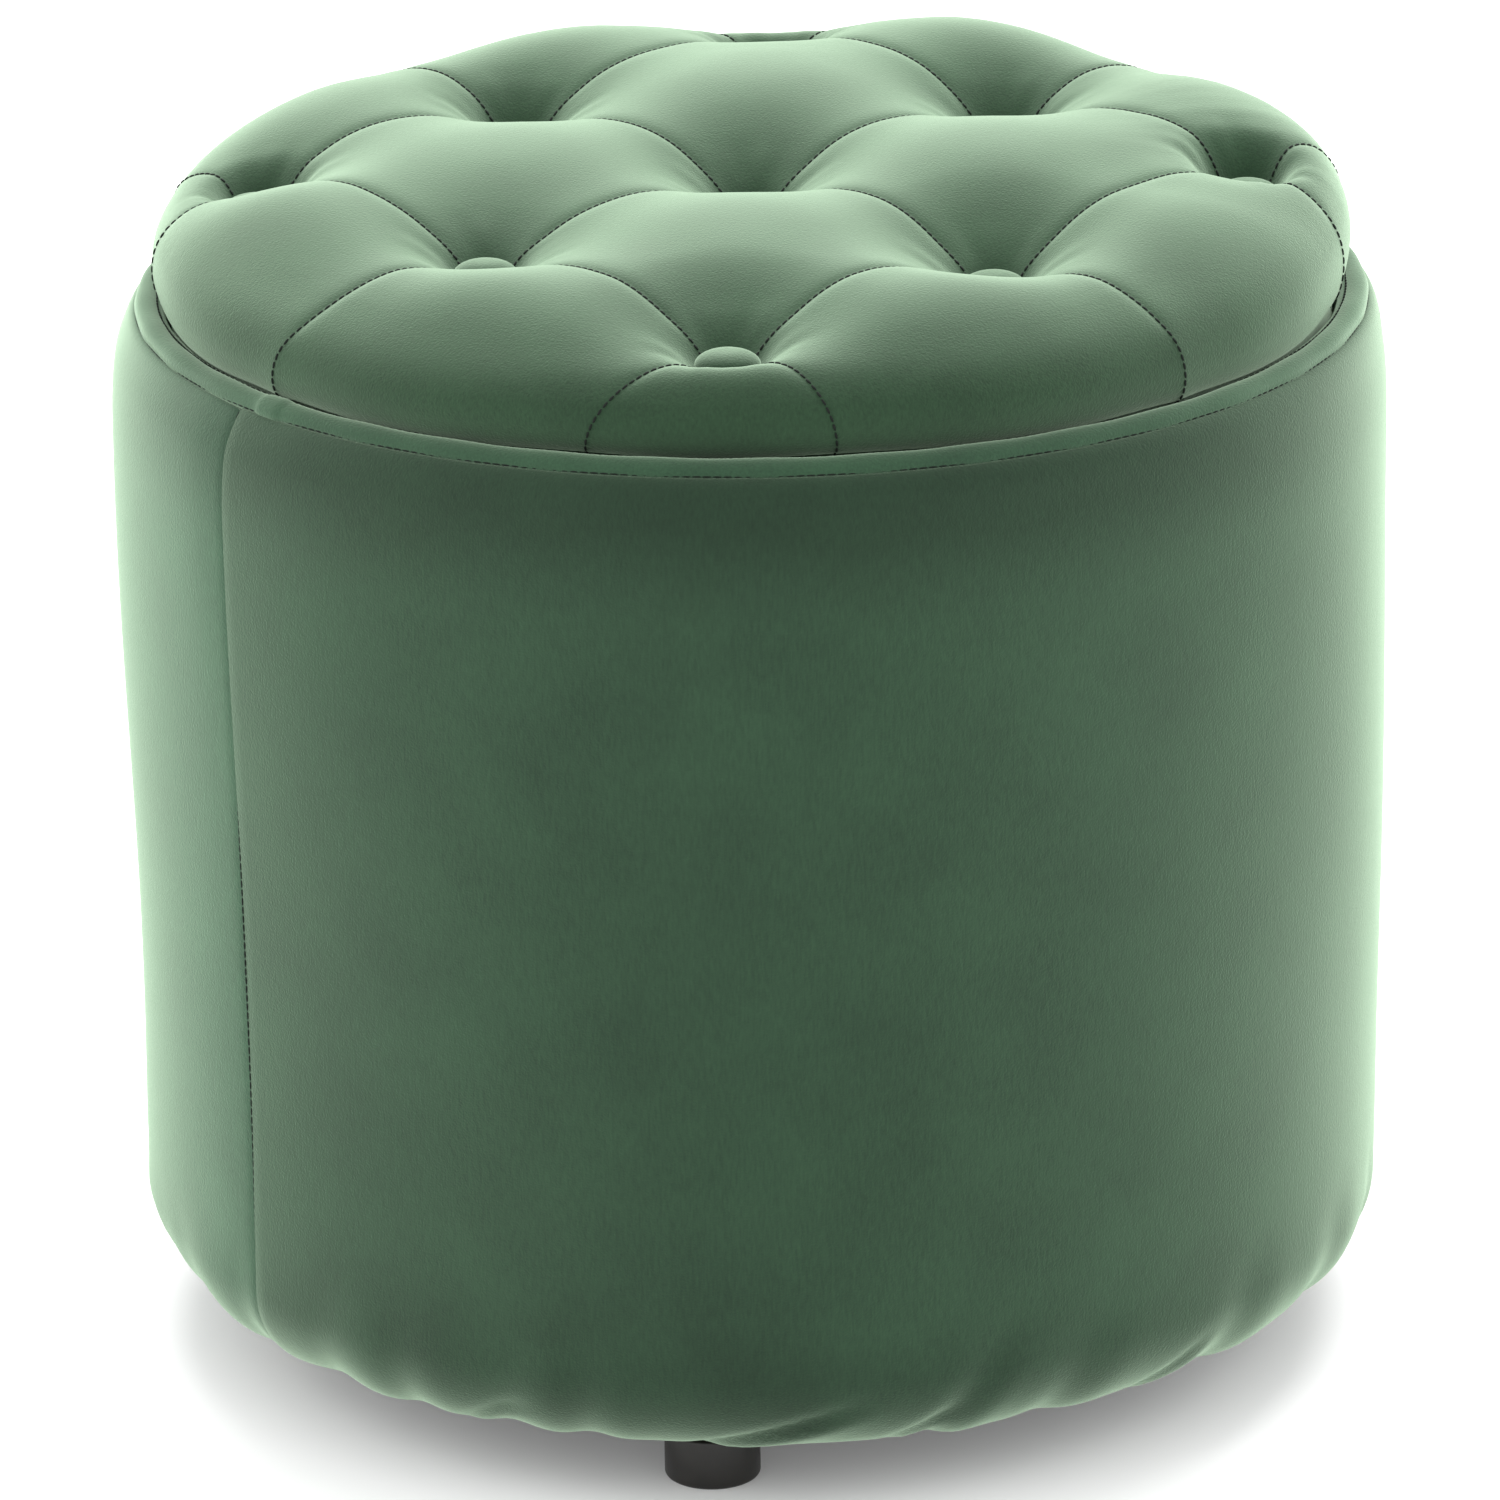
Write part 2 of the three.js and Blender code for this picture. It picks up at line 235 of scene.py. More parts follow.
def sanded_birch_ply(name):
    """Birch plywood: pale face veneer with long grain, and 1.5 mm plies that show as bands along its edge."""
    made, tree, shader = new_material(name)
    coords = node(tree, "ShaderNodeTexCoord").outputs["Object"]
    along = node(tree, "ShaderNodeMapping", inputs={"Scale": (1.0, 12.0, 0.0)}, links={"Vector": coords})
    grain = node(tree, "ShaderNodeTexNoise",
                 inputs={"Scale": 16.0, "Detail": 7.0, "Roughness": 0.62, "Distortion": 0.7},
                 links={"Vector": along.outputs["Vector"]})
    face = ramp(tree, grain.outputs["Fac"],
                [(0.3, linear("#B98F5E")), (0.55, linear("#D6B585")), (0.8, linear("#E2C79C"))])
    bands = node(tree, "ShaderNodeTexWave", {"wave_type": "BANDS", "bands_direction": "Z"},
                 {"Scale": 100.0, "Distortion": 0.4, "Detail": 1.0}, {"Vector": coords})
    edge = ramp(tree, bands.outputs["Fac"], [(0.45, linear("#8A5F37")), (0.6, linear("#D2AE7C"))])
    normal = node(tree, "ShaderNodeNewGeometry").outputs["Normal"]
    split = node(tree, "ShaderNodeSeparateXYZ", links={"Vector": normal})
    upright = node(tree, "ShaderNodeMath", {"operation": "ABSOLUTE"}, links={0: split.outputs["Z"]})
    flat_face = node(tree, "ShaderNodeMath", {"operation": "GREATER_THAN"}, {1: 0.6}, {0: upright.outputs["Value"]})
    colour = node(tree, "ShaderNodeMix", {"data_type": "RGBA"}, links={
        "Factor": flat_face.outputs["Value"]})
    tree.links.new(edge, colour.inputs[6])
    tree.links.new(face, colour.inputs[7])
    tree.links.new(colour.outputs[2], shader.inputs["Base Color"])
    shader.inputs["Roughness"].default_value = 0.62
    bump = node(tree, "ShaderNodeBump", inputs={"Strength": 0.25, "Distance": 0.0003},
                links={"Height": grain.outputs["Fac"]})
    tree.links.new(bump.outputs["Normal"], shader.inputs["Normal"])
    return made


def cut_foam(name):
    """Open-cell polyurethane foam, cream, with cells about 0.8 mm across."""
    made, tree, shader = new_material(name)
    coords = node(tree, "ShaderNodeTexCoord").outputs["Object"]
    cells = node(tree, "ShaderNodeTexVoronoi", inputs={"Scale": 1200.0}, links={"Vector": coords})
    # Painted shade: each cell is darker at its centre, where the bump sinks it into a pit.
    colour = ramp(tree, cells.outputs["Distance"], [(0.1, linear("#CFC7A8")), (0.6, linear("#EFE8D0"))])
    tree.links.new(colour, shader.inputs["Base Color"])
    shader.inputs["Roughness"].default_value = 0.95
    bump = node(tree, "ShaderNodeBump", inputs={"Strength": 0.6, "Distance": 0.0005},
                links={"Height": cells.outputs["Distance"]})
    tree.links.new(bump.outputs["Normal"], shader.inputs["Normal"])
    return made


def moulded_black_plastic(name):
    """Injection-moulded polypropylene: near-black and satin, with the fine grain of a spark-eroded mould."""
    made, tree, shader = new_material(name)
    coords = node(tree, "ShaderNodeTexCoord").outputs["Object"]
    grain = node(tree, "ShaderNodeTexNoise", inputs={"Scale": 1800.0, "Detail": 2.0}, links={"Vector": coords})
    scuffs = node(tree, "ShaderNodeTexNoise", inputs={"Scale": 90.0, "Detail": 6.0, "Roughness": 0.7},
                  links={"Vector": coords})
    colour = ramp(tree, scuffs.outputs["Fac"], [(0.4, linear("#14120F")), (0.75, linear("#211E1A"))])
    tree.links.new(colour, shader.inputs["Base Color"])
    rough = ramp(tree, scuffs.outputs["Fac"], [(0.3, grey(0.33)), (0.75, grey(0.5))])
    tree.links.new(rough, shader.inputs["Roughness"])
    shader.inputs["IOR"].default_value = 1.49
    bump = node(tree, "ShaderNodeBump", inputs={"Strength": 0.12, "Distance": 0.0002},
                links={"Height": grain.outputs["Fac"]})
    tree.links.new(bump.outputs["Normal"], shader.inputs["Normal"])
    return made


def zinc_plated_steel(name):
    """Bright zinc plating on a cold-headed screw or a staple: pale grey with soft streaks."""
    made, tree, shader = new_material(name)
    coords = node(tree, "ShaderNodeTexCoord").outputs["Object"]
    haze = node(tree, "ShaderNodeTexNoise", inputs={"Scale": 500.0, "Detail": 3.0}, links={"Vector": coords})
    colour = ramp(tree, haze.outputs["Fac"], [(0.3, linear("#A9ADB2")), (0.7, linear("#C9CCD0"))])
    rough = ramp(tree, haze.outputs["Fac"], [(0.3, grey(0.25)), (0.7, grey(0.45))])
    tree.links.new(colour, shader.inputs["Base Color"])
    tree.links.new(rough, shader.inputs["Roughness"])
    shader.inputs["Metallic"].default_value = 1.0
    return made


def waxed_twine(name):
    """Waxed tufting twine, off-white, with its twist showing."""
    made, tree, shader = new_material(name)
    coords = node(tree, "ShaderNodeTexCoord").outputs["Object"]
    twist = node(tree, "ShaderNodeTexWave", {"bands_direction": "DIAGONAL"}, {"Scale": 300.0}, {"Vector": coords})
    colour = ramp(tree, twist.outputs["Fac"], [(0.2, linear("#A89F88")), (0.7, linear("#E0D9C6"))])
    tree.links.new(colour, shader.inputs["Base Color"])
    shader.inputs["Roughness"].default_value = 0.7
    return made


def pale_floor(name):
    made, tree, shader = new_material(name)
    coords = node(tree, "ShaderNodeTexCoord").outputs["Object"]
    grain = node(tree, "ShaderNodeTexNoise", inputs={"Scale": 3.0}, links={"Vector": coords})
    colour = ramp(tree, grain.outputs["Fac"], [(0.3, grey(0.86)), (0.7, grey(0.88))])
    tree.links.new(colour, shader.inputs["Base Color"])
    shader.inputs["Roughness"].default_value = 0.8
    shader.inputs["Emission Color"].default_value = grey(1.0)
    shader.inputs["Emission Strength"].default_value = 0.10
    return made


# ---------------------------------------------------------------- making meshes

def soft_mesh(name, points, faces, finish):
    """A smooth-shaded mesh object from points and faces, at the origin."""
    mesh = bpy.data.meshes.new(name)
    mesh.from_pydata([tuple(map(float, p)) for p in points], [], [tuple(map(int, f)) for f in faces])
    mesh.materials.append(finish)
    mesh.validate()
    mesh.update()
    piece = bpy.data.objects.new(name, mesh)
    bpy.context.scene.collection.objects.link(piece)
    mesh.polygons.foreach_set("use_smooth", [True] * len(mesh.polygons))
    return piece


def outward(piece):
    """Merge doubles and turn every face outwards."""
    shape = bmesh.new()
    shape.from_mesh(piece.data)
    bmesh.ops.remove_doubles(shape, verts=shape.verts, dist=1e-6)
    bmesh.ops.recalc_face_normals(shape, faces=shape.faces)
    shape.to_mesh(piece.data)
    shape.free()


def smoothstep(low, high, x):
    t = np.clip((x - low) / (high - low), 0.0, 1.0)
    return t * t * (3 - 2 * t)


def ring_faces(rows, columns, close=True):
    """Quads between rows of points; close joins the last column to the first."""
    faces = []
    for i in range(rows - 1):
        for j in range(columns if close else columns - 1):
            k = (j + 1) % columns
            faces.append((i * columns + j, i * columns + k, (i + 1) * columns + k, (i + 1) * columns + j))
    return faces


# ---------------------------------------------------------------- the tufted lid

CREST_Z = 0.4285
SHOULDER_R = 0.118
BULGE_R = 0.2084
BULGE_Z = 0.387
BUTTON_SEAT_Z = 0.4012
GRID_EDGE = 0.2150
# Share of its reach past its radius by which the cloth stretches over the shoulder.
STRETCH = 0.33


def lid_profile():
    """The pad's outline without its tufts, as points that run from the crest to the lower edge."""
    crown = [(r, CREST_Z - 0.0012 * (r / SHOULDER_R) ** 2) for r in np.linspace(0.0, SHOULDER_R, 12)]
    top = crown[-1][1]
    swell = []
    for t in np.linspace(0.0, math.pi / 2, 20)[1:]:
        swell.append((SHOULDER_R + (BULGE_R - SHOULDER_R) * math.sin(t), BULGE_Z + (top - BULGE_Z) * math.cos(t)))
    tuck = []
    for t in np.linspace(0.0, math.pi / 2, 10)[1:]:
        tuck.append((BULGE_R - 0.0072 * (1 - math.cos(t)), BULGE_Z - 0.0128 * math.sin(t)))
    outline = np.array(crown + swell + tuck)
    steps = np.hypot(*np.diff(outline, axis=0).T)
    reach = np.concatenate([[0.0], np.cumsum(steps)])
    return reach, outline[:, 0], outline[:, 1]


REACH, PROFILE_R, PROFILE_Z = lid_profile()
FLAT_EDGE = REACH[-1]


def spread_at(flat, r):
    """Distance from the centre at which the button grid is read, for a reach and its radius."""
    return r + STRETCH * (flat - r)


def to_lattice(x, y):
    a = LID_TURN - math.pi / 4
    return (x * math.cos(a) + y * math.sin(a)) / PITCH, (y * math.cos(a) - x * math.sin(a)) / PITCH


def from_lattice(u, v):
    a = LID_TURN - math.pi / 4
    return (u * math.cos(a) - v * math.sin(a)) * PITCH, (u * math.sin(a) + v * math.cos(a)) * PITCH


# Share of the crest's height that the cloth has regained, by distance from the nearest button in button pitches:
# along a sewn line, and across a pad from corner to corner.
SEAM_ARCH = ((0.00, 0.0), (0.083, 0.0), (0.103, 0.13), (0.131, 0.25), (0.187, 0.44), (0.232, 0.56),
             (0.269, 0.65), (0.300, 0.71), (0.318, 0.74), (0.36, 0.80), (0.45, 0.87))
PAD_RAMP = ((0.00, 0.0), (0.083, 0.0), (0.104, 0.13), (0.133, 0.26), (0.194, 0.46), (0.278, 0.67),
            (0.350, 0.82), (0.403, 0.92), (0.438, 0.98), (0.47, 1.01))
# How much deeper each button is drawn than its seat in the frame, by row and column of the grid.
DRAWN_IN = ((0.0015, 0.0, 0.0055), (0.0, 0.0015, 0.0040), (-0.0035, 0.0, -0.0040))


# Where the filling stands higher or lower than its neighbours: place, height and reach.
UNEVEN_FILLING = ((-0.165, -0.035, 0.0040, 0.040), (-0.095, -0.125, 0.0025, 0.035), (0.090, -0.125, -0.0008, 0.035),
                  (0.165, -0.040, -0.0008, 0.035), (-0.008, -0.196, 0.0085, 0.028), (0.195, 0.020, 0.0040, 0.030))


def smooth_table(table, x):
    """A table read with rounded corners, by averaging it over a short window."""
    places, values = zip(*table)
    window = np.linspace(-0.022, 0.022, 9)
    return sum(np.interp(np.maximum(x + w, 0.0), places, values) for w in window) / len(window)


def tuft_rise(u, v):
    """Share of the crest's height, for a place on the button grid: 0 at a button and 1 on top of a pad."""
    near_u = np.clip(np.round(u), -1, 1)
    near_v = np.clip(np.round(v), -1, 1)
    du, dv = np.abs(u - near_u), np.abs(v - near_v)
    # A sine in place of the distance keeps the pads level where two buttons' reaches meet.
    su = np.sin(math.pi * np.clip(du, 0, 0.5)) / math.pi
    sv = np.sin(math.pi * np.clip(dv, 0, 0.5)) / math.pi
    bent = np.hypot(su, sv)
    between = 2 * su * sv / np.maximum(bent * bent, 1e-9)
    past_last = smoothstep(0.22, 0.85, np.maximum(np.abs(u), np.abs(v)) - 1)
    arch = smooth_table(SEAM_ARCH, bent) + 0.20 * past_last
    ramp = smooth_table(PAD_RAMP, bent)
    share = between ** 0.8
    r = np.hypot(du, dv)
    rise = arch * (1 - share) + ramp * share
    # Small pleats that run out from each button.
    bearing = np.arctan2(v - near_v, u - near_u)
    number = (near_u + 1) * 3 + near_v + 1
    pleats = np.sin(bearing * 9 + number * 1.7) + 0.6 * np.sin(bearing * 15 + number * 2.9)
    return rise + 0.010 * pleats * smoothstep(0.10, 0.16, r) * (1 - smoothstep(0.18, 0.30, r)) * between


def sewn_crease(u, v):
    """Depth of the crease along each sewn line, sharpest at the thread."""
    du = np.abs(u - np.clip(np.round(u), -1, 1))
    dv = np.abs(v - np.clip(np.round(v), -1, 1))
    crease = np.exp(-du / 0.022) + np.exp(-dv / 0.022)
    fading = 1 - 0.6 * smoothstep(1.35, 2.0, np.hypot(u, v))
    return 0.0015 * np.clip(crease, 0, 1) * fading * smoothstep(0.11, 0.24, np.hypot(du, dv))


def drawn_in(u, v):
    """How much deeper the cloth lies near each button, fading out halfway to the next."""
    row = (np.clip(np.round(v), -1, 1) + 1).astype(int)
    column = (np.clip(np.round(u), -1, 1) + 1).astype(int)
    r = np.hypot(u - (column - 1), v - (row - 1))
    return np.array(DRAWN_IN)[row, column] * (1 - smoothstep(0.10, 0.48, r))


def rim_drift(bearing, flat):
    """The sewn lines spread a little unevenly as the cloth is pulled down over the lid's edge."""
    places = np.radians([-180.0, -90.0, -51.0, -30.0, -16.0, 0.0, 10.0, 30.0, 46.0, 90.0, 180.0])
    turns = np.radians([0.0, 0.0, -3.4, -2.9, -2.6, -1.0, 0.0, 1.0, 2.0, 0.0, 0.0])
    return np.interp(bearing, places, turns) * smoothstep(0.168, 0.250, flat)


def shoulder_hoist(bearing, flat):
    """The foam's shoulder stands fuller at the back and the sides, and in front of the front button."""
    places = np.radians([-180.0, -160.0, -140.0, -90.0, -55.0, -28.0, -10.0, 10.0, 28.0, 55.0, 82.0, 100.0,
                         112.0, 125.0, 160.0, 180.0])
    height = np.array([4.5, 2.5, 3.5, 7.5, 2.5, 0.8, 3.5, 3.5, 0.8, 1.5, 6.0, 13.0, 2.5, 0.0, 5.5, 4.5]) / 1000
    window = np.radians(np.linspace(-14.0, 14.0, 7))
    around = sum(np.interp((bearing + w + math.pi) % (2 * math.pi) - math.pi, places, height) for w in window) / 7
    return around * smoothstep(0.095, 0.165, flat) * (1 - smoothstep(0.202, 0.247, flat))


def lid_surface(fx, fy):
    """Where a point of the flat cover ends up on the pad."""
    flat = np.hypot(fx, fy)
    cx, cy = fx / np.maximum(flat, 1e-9), fy / np.maximum(flat, 1e-9)
    r = np.interp(flat, REACH, PROFILE_R)
    z = np.interp(flat, REACH, PROFILE_Z)
    slope_r = np.interp(flat + 0.002, REACH, PROFILE_R) - np.interp(flat - 0.002, REACH, PROFILE_R)
    slope_z = np.interp(flat + 0.002, REACH, PROFILE_Z) - np.interp(flat - 0.002, REACH, PROFILE_Z)
    size = np.maximum(np.hypot(slope_r, slope_z), 1e-9)
    in_r, in_z = slope_z / size, -slope_r / size
    upright = 1 - smoothstep(0.172, 0.215, flat)
    in_r, in_z = in_r * (1 - upright), in_z * (1 - upright) - upright
    spread = spread_at(flat, r)
    bearing = np.arctan2(cx, -cy)
    on_grid = bearing - rim_drift(bearing, flat)
    u, v = to_lattice(spread * np.sin(on_grid), -spread * np.cos(on_grid))
    rise = tuft_rise(u, v)
    full = z - BUTTON_SEAT_Z
    depth = 0.006 + 0.5 * (full - 0.006 + np.sqrt((full - 0.006) ** 2 + 0.006 ** 2))
    down = depth * (1 - np.clip(rise, -0.1, 1.15)) + sewn_crease(u, v) * (1 - smoothstep(0.202, 0.216, flat))
    nr, nz = r + in_r * down, z + in_z * down
    # The filling stands a little higher at the back and on the right, and the buttons sit unevenly.
    lean = (0.034 * cy * nr + 0.018 * cx * nr) * np.clip(rise, 0, 1) * (1 - smoothstep(0.190, 0.250, flat))
    nz = nz + lean - drawn_in(u, v)
    hoist = shoulder_hoist(bearing, flat) * smoothstep(0.0, 0.5, rise)
    return_r = 0.35 * hoist * smoothstep(0.190, 0.225, flat)
    nr, nz = nr + return_r, nz + hoist
    for east, north, height, reach in UNEVEN_FILLING:
        away = np.hypot(cx * nr - east, cy * nr - north) / reach
        nz = nz + height * np.exp(-away ** 2) * np.clip(rise, 0, 1) * (1 - smoothstep(0.196, 0.226, flat))
    return np.stack([cx * nr, cy * nr, nz], axis=-1)


def half_cell(steps):
    s = np.linspace(0.0, 1.0, steps + 1)
    return 0.5 * (0.42 * s + 0.58 * s ** 2.2)


def lattice_lines(steps=22, last=2.16):
    """Grid lines crowded towards the seams, along one direction of the button grid."""
    half = half_cell(steps)
    cell = np.concatenate([half, 1 - half[-2::-1]])
    inner = np.concatenate([cell[:-1] + k for k in (-1, 0)] + [[1.0]])
    outer = np.concatenate([half[1:] + 1.0, np.arange(1.5, last, 0.0165)[1:]])
    return np.concatenate([-outer[::-1], inner, outer])


def stretched_to_flat(u, v, reach=None):
    """The flat place at (u, v) on the button grid, or on the same bearing at a given reach."""
    x, y = from_lattice(u, v)
    spread = np.hypot(x, y)
    flats = np.linspace(0.0, FLAT_EDGE * 1.15, 400)
    r = np.interp(flats, REACH, PROFILE_R)
    spreads = spread_at(flats, r)
    flat = np.interp(spread, spreads, flats) if reach is None else np.full_like(spread, reach)
    bearing = np.arctan2(x, -y)
    for _ in range(4):
        bearing = np.arctan2(x, -y) + rim_drift(bearing, flat)
    return flat * np.sin(bearing), -flat * np.cos(bearing)


def lid_pad(velvet):
    """Velvet over foam, drawn down by the buttons and sewn along the grid."""
    lines = lattice_lines()
    n = len(lines)
    u, v = np.meshgrid(lines, lines, indexing="ij")
    fx, fy = stretched_to_flat(u.ravel(), v.ravel())
    flat = np.hypot(fx, fy)
    inside = flat < GRID_EDGE - 0.0011
    edge_x, edge_y = stretched_to_flat(u.ravel(), v.ravel(), GRID_EDGE)
    fx, fy = np.where(inside, fx, edge_x), np.where(inside, fy, edge_y)
    points = lid_surface(fx, fy)
    faces = []
    for i in range(n - 1):
        for j in range(n - 1):
            corners = (i * n + j, (i + 1) * n + j, (i + 1) * n + j + 1, i * n + j + 1)
            if sum(inside[c] for c in corners) >= 1:
                faces.append(corners)
    used = sorted({c for f in faces for c in f})
    index = {c: k for k, c in enumerate(used)}
    pad = soft_mesh("lid_pad", points[used], [[index[c] for c in f] for f in faces], velvet)
    shape = bmesh.new()
    shape.from_mesh(pad.data)
    bmesh.ops.remove_doubles(shape, verts=shape.verts, dist=1e-5)
    bmesh.ops.remove_doubles(shape, verts=[v for v in shape.verts if v.is_boundary], dist=0.0006)
    # The side goes down into the rim, under the board to the hem, and back up to the flat base of the foam.
    skirt = [(0.2020, 0.3640), (0.2016, LID_BOTTOM + 0.0030), (0.1996, LID_BOTTOM + 0.0004),
             (0.1960, LID_BOTTOM), (0.1784, LID_BOTTOM), (0.1780, LID_BOTTOM + 0.0009),
             (0.1790, LID_BOTTOM + 0.0015), (0.2001, LID_BOTTOM + 0.0015), (0.2001, LID_BOTTOM + 0.0142),
             (0.0600, LID_BOTTOM + 0.0142)]
    rim = [e for e in shape.edges if e.is_boundary]
    for reach in np.linspace(GRID_EDGE, FLAT_EDGE, 17)[1:]:
        grown = bmesh.ops.extrude_edge_only(shape, edges=rim)["geom"]
        moved = [g for g in grown if isinstance(g, bmesh.types.BMVert)]
        ways = np.array([(v.co.x, v.co.y) for v in moved])
        ways = ways / np.hypot(ways[:, 0], ways[:, 1])[:, None] * reach
        for vert, spot in zip(moved, lid_surface(ways[:, 0], ways[:, 1])):
            vert.co = spot
        rim = [g for g in grown if isinstance(g, bmesh.types.BMEdge)]
    for r, z in skirt:
        grown = bmesh.ops.extrude_edge_only(shape, edges=rim)["geom"]
        for vert in (g for g in grown if isinstance(g, bmesh.types.BMVert)):
            scale = r / math.hypot(vert.co.x, vert.co.y)
            vert.co = (vert.co.x * scale, vert.co.y * scale, z)
        rim = [g for g in grown if isinstance(g, bmesh.types.BMEdge)]
    bmesh.ops.edgeloop_fill(shape, edges=rim)
    bmesh.ops.recalc_face_normals(shape, faces=shape.faces)
    for face in shape.faces:
        face.smooth = True
    shape.to_mesh(pad.data)
    shape.free()
    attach(pad, LID)
    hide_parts("lid_cover", "lid_foam")
    return pad


def bead(length, width, height, sides=6):
    """One stitch: a small rounded grain along X, as rows of points."""
    rows = []
    for s, w in ((-0.5, 0.15), (-0.38, 0.75), (0.0, 1.0), (0.38, 0.75), (0.5, 0.15)):
        for k in range(sides):
            a = 2 * math.pi * k / sides
            rows.append((s * length, w * width / 2 * math.cos(a), w * height / 2 * math.sin(a)))
    faces = ring_faces(5, sides)
    faces.append(tuple(range(sides))[::-1])
    faces.append(tuple(range(4 * sides, 5 * sides)))
    return np.array(rows), faces


def stitches(name, path, normals, pitch, grain, finish, body, slant=0.0):
    """Stitches laid end to end along a path of points."""
    shape, shape_faces = bead(*grain)
    points, faces = [], []
    for line, up in zip(path, normals):
        steps = np.linalg.norm(np.diff(line, axis=0), axis=1)
        along = np.concatenate([[0.0], np.cumsum(steps)])
        count = int(along[-1] / pitch)
        for k in range(count):
            s = (k + 0.5) * along[-1] / count
            place = np.array([np.interp(s, along, line[:, i]) for i in range(3)])
            ahead = np.array([np.interp(s + 0.0008, along, line[:, i]) for i in range(3)])
            behind = np.array([np.interp(s - 0.0008, along, line[:, i]) for i in range(3)])
            tangent = (ahead - behind) / np.linalg.norm(ahead - behind)
            face_up = np.array([np.interp(s, along, up[:, i]) for i in range(3)])
            side = np.cross(face_up, tangent)
            side /= np.linalg.norm(side)
            face_up = np.cross(tangent, side)
            turned = tangent * math.cos(slant) + side * math.sin(slant)
            across = np.cross(face_up, turned)
            start = len(points)
            for x, y, z in shape:
                points.append(place + turned * x + across * y + face_up * z)
            faces.extend(tuple(start + c for c in f) for f in shape_faces)
    piece = soft_mesh(name, points, faces, finish)
    outward(piece)
    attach(piece, body)
    return piece


def line_to_rim(fixed):
    """A sewn line from its last button out to the hem: how far along the grid it has come at each reach."""
    reach = np.linspace(0.10, FLAT_EDGE - 0.0008, 300)
    r = np.interp(reach, REACH, PROFILE_R)
    along = np.sqrt(np.maximum((spread_at(reach, r) / PITCH) ** 2 - fixed ** 2, 0.0))
    beyond = along > 1.10
    return along[beyond], reach[beyond]


def seam_lines():
    """The six sewn lines of the lid, in lengths between buttons and on to the rim."""
    paths, ups = [], []
    for fixed in (-1, 0, 1):
        along, reach = line_to_rim(fixed)
        between = np.linspace(0.10, 0.90, 110)
        for t, flat in ((-along, reach), (between - 1, None), (between, None), (along, reach)):
            same = np.full_like(t, fixed)
            for u, v in ((same, t), (t, same)):
                fx, fy = stretched_to_flat(u, v, flat)
                line = lid_surface(fx, fy)
                step = 0.0004
                east = lid_surface(fx + step, fy) - lid_surface(fx - step, fy)
                north = lid_surface(fx, fy + step) - lid_surface(fx, fy - step)
                up = np.cross(east, north)
                up /= np.linalg.norm(up, axis=1)[:, None]
                paths.append(line + up * 0.0002)
                ups.append(up)
    return paths, ups


def button_places():
    """Each button's place, and how far it sits above its seat in the frame."""
    return [(*from_lattice(column, row), -DRAWN_IN[row + 1][column + 1])
            for row in (-1, 0, 1) for column in (-1, 0, 1)]


def deselect():
    bpy.ops.object.select_all(action="DESELECT")


def pick_faces(piece, test):
    """Select the faces whose centre and normal pass a test."""
    bpy.ops.mesh.select_all(action="DESELECT")
    shape = bmesh.from_edit_mesh(piece.data)
    for face in shape.faces:
        face.select = bool(test(face.calc_center_median(), face.normal))
    bmesh.update_edit_mesh(piece.data)


def finish_piece(piece, name, finish, body, replaced=()):
    """Name a modelled piece, settle its place into its mesh, and hand it to its body."""
    piece.name = piece.data.name = name
    deselect()
    piece.select_set(True)
    bpy.context.view_layer.objects.active = piece
    bpy.ops.object.transform_apply(location=True, rotation=True, scale=True)
    piece.data.materials.clear()
    piece.data.materials.append(finish)
    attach(piece, body)
    if replaced:
        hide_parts(*replaced)
    return piece


def covered_buttons(velvet):
    low = BUTTON_SEAT + 0.0003
    for number, (x, y, lift) in enumerate(button_places(), 1):
        deselect()
        bpy.ops.mesh.primitive_cylinder_add(vertices=40, radius=0.0112, depth=0.0020,
                                            location=(0, 0, low + 0.0010))
        button = bpy.context.active_object
        bpy.ops.object.mode_set(mode="EDIT")
        pick_faces(button, lambda centre, normal: normal.z > 0.9)
        for thickness, rise in ((0.0006, 0.0016), (0.0018, 0.0015), (0.0028, 0.0011), (0.0030, 0.0005)):
            bpy.ops.mesh.inset(thickness=thickness)
            bpy.ops.transform.translate(value=(0, 0, rise))
        bpy.ops.object.mode_set(mode="OBJECT")
        bpy.ops.object.shade_smooth()
        smooth = button.modifiers.new("round", "SUBSURF")
        smooth.levels = smooth.render_levels = 1
        bpy.ops.object.modifier_apply(modifier="round")
        button.location = (x, y, button.location.z + lift)
        finish_piece(button, f"covered_button_{number}", velvet, LID, (f"button_{number}",))


# ---------------------------------------------------------------- the drum's cover

def drum_profile():
    """The drum's outer outline, from the hem under the board to the seam below the welt."""
    hem = [(r, 0.020) for r in np.linspace(0.148, 0.187, 8)]
    roll = [(0.187 + 0.033 * math.sin(t), 0.053 - 0.033 * math.cos(t)) for t in np.linspace(0, math.pi / 2, 16)[1:]]
    wall = [(0.220 + 0.0024 * float(smoothstep(0.10, 0.31, z)), z) for z in np.linspace(0.053, 0.333, 50)[1:]]
    shoulder = [(0.2138 + 0.0086 * math.cos(t), 0.333 + 0.0388 * math.sin(t))
                for t in np.linspace(0, math.radians(82), 16)[1:]]
    tuck = [(0.2142, 0.3718), (0.2125, 0.3714)]
    return np.array(hem + roll + wall + shoulder + tuck)


def gathers(seed, count):
    """Folds pulled in where the cloth is stapled under the drum: bearing, width, depth and slant of each."""
    rng = random.Random(seed)
    found = []
    for k in range(count):
        bearing = 2 * math.pi * (k + rng.uniform(0.15, 0.85)) / count
        width = math.radians(rng.uniform(1.6, 3.8))
        found.append((bearing, width, rng.uniform(0.0008, 0.0022), rng.uniform(-0.5, 0.9)))
    return found


